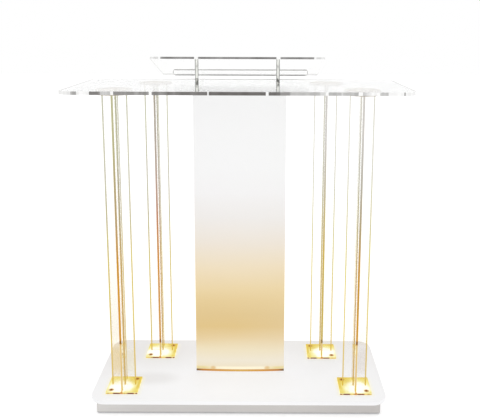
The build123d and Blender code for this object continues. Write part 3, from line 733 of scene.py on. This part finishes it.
def foot_material(place):
    """A clear foot with the light of the spot below it painted on as glow: white-hot in the middle, and gold
    farther off.
    """
    g = Graph(f"acrylic_foot_{place}")
    x, y, z = g.place()
    centre = leg_centres[place]
    outward = -1.0 if centre.x < 0 else 1.0
    across = g.over(g.less(x, centre.x), outward * foot_half)
    back = g.over(g.less(y, centre.y), foot_half)
    side = g.mix(g.span(g.noise(70.0, 2.0), 0.45, 0.55), SIDE_GOLD, SIDE_PALE)
    normal = g.normal()
    side = g.mix(g.below(normal[1], -0.5), side, foot_front(g, across, z))
    glow = g.mix(g.above(normal[2], 0.5), side, foot_top(g, across, back))
    return g.finish(g.lit(glow, own_light=0.85, roughness=0.1))


# ---------------------------------------------------------------- panel and base
# The panel's painted light by height, from its foot to its top: gold low down, white higher up.
PANEL_TONES = [
    (0.0, srgb(241, 227, 194)),
    (0.038, srgb(243, 234, 214)),
    (0.082, srgb(241, 227, 194)),
    (0.126, srgb(233, 209, 162)),
    (0.169, srgb(226, 197, 138)),
    (0.213, srgb(226, 199, 144)),
    (0.257, srgb(231, 206, 154)),
    (0.301, srgb(236, 214, 168)),
    (0.388, srgb(239, 223, 193)),
    (0.475, srgb(238, 229, 216)),
    (0.563, srgb(239, 236, 233)),
    (0.65, srgb(244, 243, 243)),
    (0.74, srgb(246, 246, 246)),
    (1.0, srgb(247, 247, 247)),
]
# The painted glowing line along its foot, from the middle to the sides.
PANEL_FOOT_TONES = [
    (0.0, srgb(220, 172, 88)),
    (0.5, srgb(214, 150, 62)),
    (0.86, srgb(196, 128, 54)),
    (1.0, srgb(112, 86, 50)),
]
PANEL_PALE = srgb(240, 236, 230)
PANEL_CUT = srgb(205, 190, 160)
SLOT_WHITE = (1.05, 0.98, 0.74)
SLOT_GOLD = srgb(236, 216, 136)
CLIP_SHADOW_TAN = srgb(222, 176, 100)


def panel_material():
    """Frosted sheet with a painted glow: painted light white above and gold below, paler again where the
    light slot shines into its foot, and painted clip shadows.
    """
    g = Graph("panel_frosted")
    x, _, z = g.place()
    height = g.span(z, panel_low.z, panel_high.z)
    cloud = g.span(g.noise(2.2, 2.0, stretch=(1.0, 1.0, 2.0)), 0.3, 0.7, -0.012, 0.012)
    colour = g.ramp(g.plus(height, cloud), PANEL_TONES)
    # A painted paler patch of light low towards the right.
    paler = g.times(g.span(x, -0.02, 0.14, 0.0, 0.12), g.span(height, 0.1, 0.3, 1.0, 0.0))
    colour = g.mix(paler, colour, PANEL_PALE)
    away = g.magnitude(x)
    rise = g.less(z, panel_low.z)
    glow = g.times(
        g.times(g.span(rise, 0.006, 0.010), g.span(rise, 0.012, 0.021, 1.0, 0.0, smooth=True)),
        g.span(away, 0.035, 0.135, 1.0, 0.7, smooth=True),
    )
    white_hot = g.mix(g.span(away, 0.08, 0.12), SLOT_WHITE, SLOT_GOLD)
    colour = g.mix(glow, colour, white_hot)
    line = g.less(1.0, g.span(rise, 0.0055, 0.0085))
    colour = g.mix(line, colour, g.ramp(g.span(away, 0.0, panel_high.x), PANEL_FOOT_TONES))
    # Painted soft shadows of the clips, seen through the frosted sheet.
    from_clip_shadow = g.distance(g.over(g.less(away, clip_x + 0.004), 0.011), g.over(g.less(rise, 0.012), 0.008))
    colour = g.mix(g.span(from_clip_shadow, 0.3, 1.2, 0.62, 0.0, smooth=True), colour, CLIP_SHADOW_TAN)
    frost = g.noise(900.0, 2.0)
    edge = g.above(g.facing(ACROSS), 0.6)
    shade = g.mix(edge, colour, g.mix(0.5, colour, PANEL_CUT))
    return g.finish(
        g.principled(
            Base_Color=g.mix(0.75, shade, BLACK),
            Roughness=0.5,
            IOR=ACRYLIC_IOR,
            Specular_IOR_Level=0.2,
            Normal=g.bump(frost, 0.15, 0.0002),
            Emission_Color=shade,
            Emission_Strength=0.745,
        )
    )


# The base plate's white from its middle to its left and right ends, darker at the ends as painted shade.
BASE_TONES = [
    (0.1, srgb(252, 252, 253)),
    (0.6, srgb(249, 249, 250)),
    (0.9, srgb(248, 248, 249)),
    (1.0, srgb(245, 245, 246)),
]
# Painted shade towards the back and beside the front left foot, and the feet's painted yellow light.
BASE_FAR_SHADE = srgb(235, 233, 232)
BASE_SHADED = srgb(226, 224, 223)
FOOT_SHINE = srgb(255, 250, 214)


def foot_halo(g, x, y):
    """Where the feet's yellow light is painted: 1 beside the feet, and 0 from 16 mm away."""
    halos = []
    for place in LEG_PLACES:
        centre = leg_centres[place]
        dx = g.most(g.less(g.magnitude(g.less(x, centre.x)), foot_half), 0.0)
        dy = g.most(g.less(g.magnitude(g.less(y, centre.y)), foot_half), 0.0)
        halos.append(g.span(g.distance(dx, dy), 0.0, 0.016, 1.0, 0.0, smooth=True))
    return g.most(*halos)


def base_material():
    """White satin sheet with a painted glow: painted shade towards the back, at the ends and beside the front
    left foot, and the feet's yellow light painted on it.
    """
    g = Graph("base_white")
    x, y = g.place()[:2]
    depth = g.plus(y, g.span(g.noise(3.0, 2.0), 0.3, 0.7, -0.05, 0.05))
    depth = g.less(depth, g.times(x, 0.12))
    away = g.over(g.magnitude(x), plate_high.x)
    far_shade = g.span(depth, plate_low.y + 0.06, plate_high.y, smooth=True)
    far_shade = g.times(far_shade, g.span(away, 0.2, 0.6, 0.6, 1.0))
    white = g.mix(far_shade, g.ramp(away, BASE_TONES), BASE_FAR_SHADE)
    # A painted soft shadow to the right of the front left foot.
    beside = leg_centres["front_left"] + Vector((0.09, 0.05, 0.0))  # right of the front left foot
    from_shade = g.distance(g.over(g.less(x, beside.x), 0.11), g.over(g.less(y, beside.y), 0.06))
    white = g.mix(g.span(from_shade, 0.2, 1.0, 0.5, 0.0, smooth=True), white, BASE_SHADED)
    colour = g.mix(g.times(foot_halo(g, x, y), 0.35), white, FOOT_SHINE)
    peel = g.noise(60.0, 3.0)
    return g.finish(
        g.principled(
            Base_Color=g.mix(0.7, colour, BLACK),
            Roughness=g.span(g.noise(5.0, 3.0), 0.3, 0.7, 0.42, 0.55),
            Specular_IOR_Level=0.1,
            Normal=g.bump(peel, 0.04, 0.0004),
            Emission_Color=colour,
            Emission_Strength=0.68,
        )
    )


# The plinth's white from its left end to its right end, greyed as painted shade and darker towards the right.
PLINTH_TONES = [
    (0.0, srgb(211, 209, 206)),
    (0.14, srgb(203, 200, 198)),
    (0.7, srgb(201, 198, 195)),
    (1.0, srgb(192, 188, 185)),
]


def plinth_material():
    """White paint greyed as painted shade under the plate, and a little darker towards the right as painted
    shade.
    """
    g = Graph("plinth_white")
    x = g.place()[0]
    cloud = g.span(g.noise(4.0, 3.0), 0.3, 0.7, -0.04, 0.04)
    colour = g.ramp(g.plus(g.span(x, plate_low.x, plate_high.x), cloud), PLINTH_TONES)
    return g.finish(
        g.principled(Base_Color=colour, Roughness=0.45, Normal=g.bump(g.noise(88.0, 3.0), 0.12, 0.0003))
    )


def painted(name, light, dark, roughness, scale, bump=0.1, metallic=0.0):
    """Paint, moulded plastic, rubber or metal with a little variation in tone and gloss."""
    g = Graph(name)
    cloud = g.noise(scale, 3.0)
    fine = g.noise(scale * 22, 3.0)
    return g.finish(
        g.principled(
            Base_Color=g.mix(g.span(cloud, 0.3, 0.7), dark, light),
            Roughness=g.span(cloud, 0.3, 0.7, roughness * 0.85, roughness * 1.15),
            Metallic=metallic,
            Normal=g.bump(fine, bump, 0.0003),
        )
    )


def brushed(name, light, dark, roughness, along):
    """Drawn or brushed metal, with its lines along one axis."""
    g = Graph(name)
    stretch = tuple(1.0 if axis == along else 28.0 for axis in range(3))
    lines = g.noise(40.0, 4.0, stretch=stretch)
    return g.finish(
        g.principled(
            Base_Color=g.mix(g.span(lines, 0.3, 0.7), dark, light),
            Roughness=g.span(lines, 0.3, 0.7, roughness * 0.8, roughness * 1.2),
            Metallic=1.0,
            Normal=g.bump(lines, 0.15, 0.0002),
        )
    )


def wood_material():
    """Light plywood with rings and pores."""
    g = Graph("block_wood")
    rings = g.node("ShaderNodeTexWave", wave_type="RINGS", rings_direction="Z")
    g.put(rings.inputs["Vector"], g.point())
    rings.inputs["Scale"].default_value = 45.0
    rings.inputs["Distortion"].default_value = 6.0
    rings.inputs["Detail"].default_value = 3.0
    pores = g.noise(300.0, 2.0, stretch=(1.0, 1.0, 0.1))
    colour = g.mix(rings.outputs["Fac"], srgb(196, 158, 110), srgb(222, 188, 140))
    return g.finish(
        g.principled(Base_Color=colour, Roughness=0.7, Normal=g.bump(pores, 0.3, 0.0004))
    )


def light_material():
    """Warm white light in small cells."""
    g = Graph("led_light")
    cells = g.node("ShaderNodeTexVoronoi")
    g.put(cells.inputs["Vector"], g.point())
    cells.inputs["Scale"].default_value = 120.0
    colour = g.mix(g.span(cells.outputs["Distance"], 0.0, 0.6), (1.0, 0.93, 0.7), (1.0, 0.85, 0.45))
    return g.finish(
        g.principled(Base_Color=colour, Roughness=0.3, Emission_Color=colour, Emission_Strength=1.2)
    )


# ---------------------------------------------------------------- giving out the materials
def dress(node, material):
    """Gives a node one material in place of its own."""
    piece = nodes[node]
    piece.data.materials.clear()
    piece.data.materials.append(material)


board_slope = math.atan2(board_high.z - board_low.z, board_high.y - board_low.y)
board_normal = (0.0, math.sin(board_slope), math.cos(board_slope))
lip_normal = (0.0, math.cos(board_slope), -math.sin(board_slope))
dress("shelf", shelf_material())
dress("reading_board", clear_sheet("acrylic_board", board_normal, board_edge))
dress("board_lip", lip_material())
for side in ("left", "right"):
    dress(f"board_bracket_{side}", clear_sheet(f"acrylic_bracket_{side}", ACROSS, bracket_edge(side)))

# Painted tan light on a fin: colour, how much, and the heights at which it starts, is full, and ends.
TAN_LIGHT = {
    "front_left_fin_left": (srgb(238, 216, 160), 0.55, 0.068, 0.125, 0.165, 0.235),
    "front_left_fin_right": (srgb(240, 232, 200), 0.3, 0.08, 0.12, 0.16, 0.21),
    "front_right_fin_right": (srgb(226, 216, 208), 0.3, 0.08, 0.12, 0.17, 0.21),
}
disc = disc_material()
for place in LEG_PLACES:
    dress(f"leg_{place}_web", web_material(place))
    for side in ("left", "right"):
        tint = TAN_LIGHT.get(f"{place}_fin_{side}")
        dress(f"leg_{place}_fin_{side}", fin_material(place, side, tint))
    dress(f"leg_{place}_top_disc", disc)
    dress(f"leg_{place}_foot", foot_material(place))

slot_materials = {
    "panel_frosted": panel_material(),
    "base_white": base_material(),
    "plinth_white": plinth_material(),
    "block_wood": wood_material(),
    "cover_grey": painted("cover_grey", srgb(178, 178, 178), srgb(166, 166, 166), 0.7, 8.0, 0.3),
    "pad_rubber": painted("pad_rubber", srgb(48, 48, 48), srgb(34, 34, 34), 0.85, 30.0, 0.4),
    "screw_brass": brushed("screw_brass", srgb(182, 122, 48), srgb(126, 70, 24), 0.35, 2),
    "clip_brass": brushed("clip_brass", srgb(206, 152, 84), srgb(168, 112, 52), 0.4, 0),
    "screw_steel": brushed("screw_steel", srgb(190, 190, 190), srgb(150, 150, 150), 0.35, 0),
    "heat_spreader": brushed("heat_spreader", srgb(205, 206, 208), srgb(176, 178, 180), 0.4, 0),
    "led_light": light_material(),
    "driver_case": brushed("driver_case", srgb(180, 182, 184), srgb(156, 158, 160), 0.45, 0),
    "switch_black": painted("switch_black", srgb(34, 34, 34), srgb(24, 24, 24), 0.4, 60.0, 0.15),
    "terminal_plastic": painted(
        "terminal_plastic", srgb(214, 211, 202), srgb(202, 198, 188), 0.5, 60.0, 0.15
    ),
    "wire_insulation": painted("wire_insulation", srgb(226, 223, 217), srgb(212, 208, 200), 0.45, 60.0),
}
for node, slot in slots.items():
    if slot in slot_materials:
        dress(node, slot_materials[slot])


# ---------------------------------------------------------------- polished rims
def round_rims(node, width):
    """Takes the sharpness off a sheet's cut edges, as flame polishing does."""
    bevel = nodes[node].modifiers.new("polished_rim", "BEVEL")
    bevel.width = width
    bevel.segments = 2
    bevel.limit_method = "ANGLE"
    bevel.angle_limit = math.radians(50)


RIM_WIDTHS = {"shelf": 0.0010, "reading_board": 0.0007, "board_lip": 0.0006, "centre_panel": 0.0006}
for node, width in RIM_WIDTHS.items():
    round_rims(node, width)
for side in ("left", "right"):
    round_rims(f"board_bracket_{side}", 0.0007)


# ---------------------------------------------------------------- bonded seams of the legs
SEAM = 0.0009  # how far a fillet reaches along each sheet


def seam_beads(place):
    """The four thin fillets of cement in the inner corners of a leg, as one piece."""
    centre = leg_centres[place]
    mesh = bpy.data.meshes.new(f"leg_{place}_seams")
    shape = bmesh.new()
    for way_x in (-1, 1):
        for way_y in (-1, 1):
            corner = Vector((centre.x + way_x * sheet / 2, centre.y + way_y * sheet / 2, 0))
            outline = [corner]
            for step in range(4):
                angle = math.radians(30 * step)
                hollow = Vector((way_x * (1 - math.sin(angle)), way_y * (1 - math.cos(angle)), 0))
                outline.append(corner + SEAM * hollow)
            rings = [
                [shape.verts.new(point + Vector((0, 0, height))) for point in outline]
                for height in (leg_low, leg_high)
            ]
            count = len(outline)
            for i in range(count):
                j = (i + 1) % count
                shape.faces.new((rings[0][i], rings[0][j], rings[1][j], rings[1][i]))
            shape.faces.new(rings[0][::-1])
            shape.faces.new(rings[1])
    bmesh.ops.recalc_face_normals(shape, faces=shape.faces)
    shape.to_mesh(mesh)
    shape.free()
    piece = bpy.data.objects.new(f"leg_{place}_seams", mesh)
    bpy.context.scene.collection.objects.link(piece)
    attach(piece, "lectern")
    return piece


def seam_material(place):
    """Half clear cement with the painted glow and shade of the leg's joints."""
    g = Graph(f"acrylic_seam_{place}")
    return g.finish(g.lit(lit_edge(g, place, "joint"), 0.55, roughness=0.4, shine=0.05))


for place in LEG_PLACES:
    seam_beads(place).data.materials.append(seam_material(place))


# ---------------------------------------------------------------- floor, light and camera
def floor():
    """A pale floor far larger than the lectern."""
    mesh = bpy.data.meshes.new("floor")
    half = 14.0
    corners = [(-half, -half, 0), (half, -half, 0), (half, half, 0), (-half, half, 0)]
    mesh.from_pydata(corners, [], [(0, 1, 2, 3)])
    plane = bpy.data.objects.new("floor", mesh)
    bpy.context.scene.collection.objects.link(plane)
    g = Graph("floor_pale")
    shade = g.mix(g.span(g.noise(0.6, 2.0), 0.3, 0.7), (0.95, 0.95, 0.95), (0.97, 0.97, 0.97))
    paint = g.principled(
        Base_Color=shade,
        Roughness=0.9,
        Specular_IOR_Level=0.0,
        Emission_Color=shade,
        Emission_Strength=0.24,
    )
    plane.data.materials.append(g.finish(paint))


def studio():
    """A white room: plain white to look at, and a little dimmer as a light from the camera's side."""
    world = bpy.data.worlds.new("studio")
    bpy.context.scene.world = world
    world.use_nodes = True
    tree = world.node_tree
    tree.nodes.clear()
    output = tree.nodes.new("ShaderNodeOutputWorld")
    path = tree.nodes.new("ShaderNodeLightPath")
    parts = tree.nodes.new("ShaderNodeSeparateXYZ")
    tree.links.new(tree.nodes.new("ShaderNodeTexCoord").outputs["Generated"], parts.inputs[0])
    level = tree.nodes.new("ShaderNodeMapRange")
    tree.links.new(parts.outputs[1], level.inputs["Value"])
    for key, number in (("From Min", -0.9), ("From Max", 0.3), ("To Min", 0.88), ("To Max", 1.05)):
        level.inputs[key].default_value = number
    seen = tree.nodes.new("ShaderNodeMath")
    seen.operation = "MAXIMUM"
    tree.links.new(path.outputs["Is Camera Ray"], seen.inputs[0])
    tree.links.new(path.outputs["Is Transmission Ray"], seen.inputs[1])
    lit = tree.nodes.new("ShaderNodeBackground")
    tree.links.new(level.outputs[0], lit.inputs["Strength"])
    lit.inputs["Color"].default_value = (*WHITE, 1.0)
    plain = tree.nodes.new("ShaderNodeBackground")
    plain.inputs["Color"].default_value = (*WHITE, 1.0)
    plain.inputs["Strength"].default_value = 1.0
    both = tree.nodes.new("ShaderNodeMixShader")
    tree.links.new(seen.outputs[0], both.inputs[0])
    tree.links.new(lit.outputs[0], both.inputs[1])
    tree.links.new(plain.outputs[0], both.inputs[2])
    tree.links.new(both.outputs[0], output.inputs["Surface"])


def softbox(name, place, target, size, power):
    """A rectangular lamp at a place, turned towards a target."""
    light = bpy.data.lights.new(name, "AREA")
    light.shape = "RECTANGLE"
    light.size, light.size_y = size
    light.energy = power
    lamp = bpy.data.objects.new(name, light)
    bpy.context.scene.collection.objects.link(lamp)
    lamp.location = place
    lamp.rotation_mode = "QUATERNION"
    lamp.rotation_quaternion = (Vector(target) - Vector(place)).to_track_quat("-Z", "Y")


# Fitted to the photo's perspective. Angles are in radians, the lens and sensor in millimetres, and the shift
# is a share of the frame.
CAMERA_PLACE = (0.0719, -2.2095, 1.2071)
CAMERA_TURN = 0.0016
CAMERA_PITCH = 0.1841  # downwards
CAMERA_ROLL = 0.0033
CAMERA_LENS = 52.3
CAMERA_SENSOR = 36.0
CAMERA_SHIFT = (-0.0443, -0.1208)


def camera():
    """The photo's eye: in front, a little to the right and above the shelf."""
    data = bpy.data.cameras.new("camera")
    data.lens = CAMERA_LENS
    data.sensor_width = CAMERA_SENSOR
    data.shift_x, data.shift_y = CAMERA_SHIFT
    data.clip_end = 60.0
    eye = bpy.data.objects.new("camera", data)
    bpy.context.scene.collection.objects.link(eye)
    eye.matrix_world = (
        Matrix.Translation(CAMERA_PLACE)
        @ Matrix.Rotation(CAMERA_TURN, 4, "Z")
        @ Matrix.Rotation(math.pi / 2 - CAMERA_PITCH, 4, "X")
        @ Matrix.Rotation(CAMERA_ROLL, 4, "Z")
    )
    bpy.context.scene.camera = eye


floor()
studio()
softbox("overhead", (0.0, 0.3, 3.2), (0.0, 0.0, 0.5), (3.0, 2.2), 6.0)
camera()
bpy.context.scene.view_settings.view_transform = "Standard"
